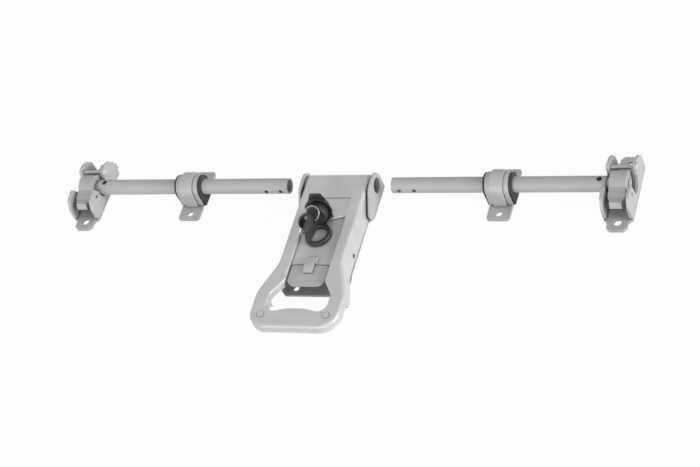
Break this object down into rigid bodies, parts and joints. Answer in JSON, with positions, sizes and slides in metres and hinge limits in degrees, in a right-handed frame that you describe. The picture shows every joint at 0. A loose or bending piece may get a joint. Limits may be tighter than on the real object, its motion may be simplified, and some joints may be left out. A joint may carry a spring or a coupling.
{
  "type": "container door lock bar",
  "caption": "Lockable pull handle on a base plate between two cam bars, with guides, end keepers, a sprung catch, a key lock and a swinging dust ring.",
  "frame": {"origin": "on the mounting plane, under the axis of the bars, at the middle of the handle", "axes": "+X along the bars, +Y from the grip towards the bars, +Z out of the door"},
  "size_m": [0.8498, 0.319, 0.082],
  "materials": {
    "bracket_steel": "satin",
    "cam_steel": "satin, cast",
    "tube_steel": "satin",
    "handle_steel": "satin, bead blasted",
    "rubber": "matt",
    "lock_black": "low gloss",
    "key_black": "matt",
    "bright_steel": "bright"
  },
  "bodies": {
    "door_fixings": {"base_plate": "bracket_steel", "left_guide_strap": "bracket_steel", "right_guide_strap": "bracket_steel", "left_guide_bush": "rubber", "right_guide_bush": "rubber"},
    "left_keeper_set": {"left_keeper": "bracket_steel", "left_keeper_pin": "bracket_steel"},
    "right_keeper_set": {"right_keeper": "bracket_steel", "right_keeper_pin": "bracket_steel"},
    "left_bar": {"left_bar_tube": "tube_steel", "left_cam": "cam_steel"},
    "right_bar": {"right_bar_tube": "tube_steel", "right_cam": "cam_steel"},
    "handle": {"handle_shell": "handle_steel", "handle_panel": "handle_steel", "hub_sleeve": "tube_steel", "grip_backing": "handle_steel", "grip_rivets": "handle_steel", "catch_pin": "tube_steel", "catch_spring": "bright_steel", "lock_housing": "lock_black", "dust_ring_pin": "bright_steel"},
    "catch": {"catch_paddle": "bracket_steel"},
    "lock_cylinder": {"lock_barrel": "lock_black", "lock_tongue": "bright_steel", "tongue_screw": "bright_steel", "key_blade": "bright_steel", "key_head": "key_black"},
    "key_ring": {"key_wire": "bright_steel"},
    "spare_key": {"spare_key_head": "key_black", "spare_key_blade": "bright_steel"},
    "dust_cover": {"dust_ring": "lock_black"}
  },
  "joints": [
    {"name": "handle_lift", "type": "hinge", "parent": "door_fixings", "child": "handle", "pos_m": [0, 0, 0.0235], "axis": [-1, 0, 0], "range_deg": [0, 110]},
    {"name": "left_bar_fit", "type": "slide", "parent": "door_fixings", "child": "left_keeper_set", "axis": [1, 0, 0], "range_m": [0, 0.07]},
    {"name": "right_bar_fit", "type": "slide", "parent": "door_fixings", "child": "right_keeper_set", "axis": [-1, 0, 0], "range_m": [0, 0.07]},
    {"name": "left_bar_turn", "type": "hinge", "parent": "left_keeper_set", "child": "left_bar", "pos_m": [-0.4026, 0, 0.0235], "axis": [-1, 0, 0], "range_deg": [0, 110]},
    {"name": "right_bar_turn", "type": "hinge", "parent": "right_keeper_set", "child": "right_bar", "pos_m": [0.4026, 0, 0.0235], "axis": [-1, 0, 0], "range_deg": [0, 110]},
    {"name": "catch_lift", "type": "hinge", "parent": "handle", "child": "catch", "pos_m": [0, -0.116, 0.0125], "axis": [-1, 0, 0], "range_deg": [0, 10], "stiffness_Nm_per_rad": 0.15, "springref_deg": -20.05},
    {"name": "key_turn", "type": "hinge", "parent": "handle", "child": "lock_cylinder", "pos_m": [-0.002, -0.072, 0.056], "axis": [0, 0.9744, -0.225], "range_deg": [0, 90]},
    {"name": "key_ring_swing", "type": "hinge", "parent": "lock_cylinder", "child": "key_ring", "pos_m": [-0.002, -0.09754, 0.06539], "axis": [1, 0, 0], "range_deg": [-10, 5]},
    {"name": "spare_key_swing", "type": "hinge", "parent": "key_ring", "child": "spare_key", "pos_m": [-0.01092, -0.09352, 0.0686], "axis": [0.867, -0.4835, 0.1206], "range_deg": [-5, 5]},
    {"name": "dust_ring_swing", "type": "hinge", "parent": "handle", "child": "dust_cover", "pos_m": [-0.002, -0.07931, 0.03785], "axis": [-1, 0, 0], "range_deg": [0, 10]}
  ],
  "couplings": [
    {"joint": "left_bar_turn", "follows": "handle_lift", "ratio": 1},
    {"joint": "right_bar_turn", "follows": "handle_lift", "ratio": 1}
  ]
}
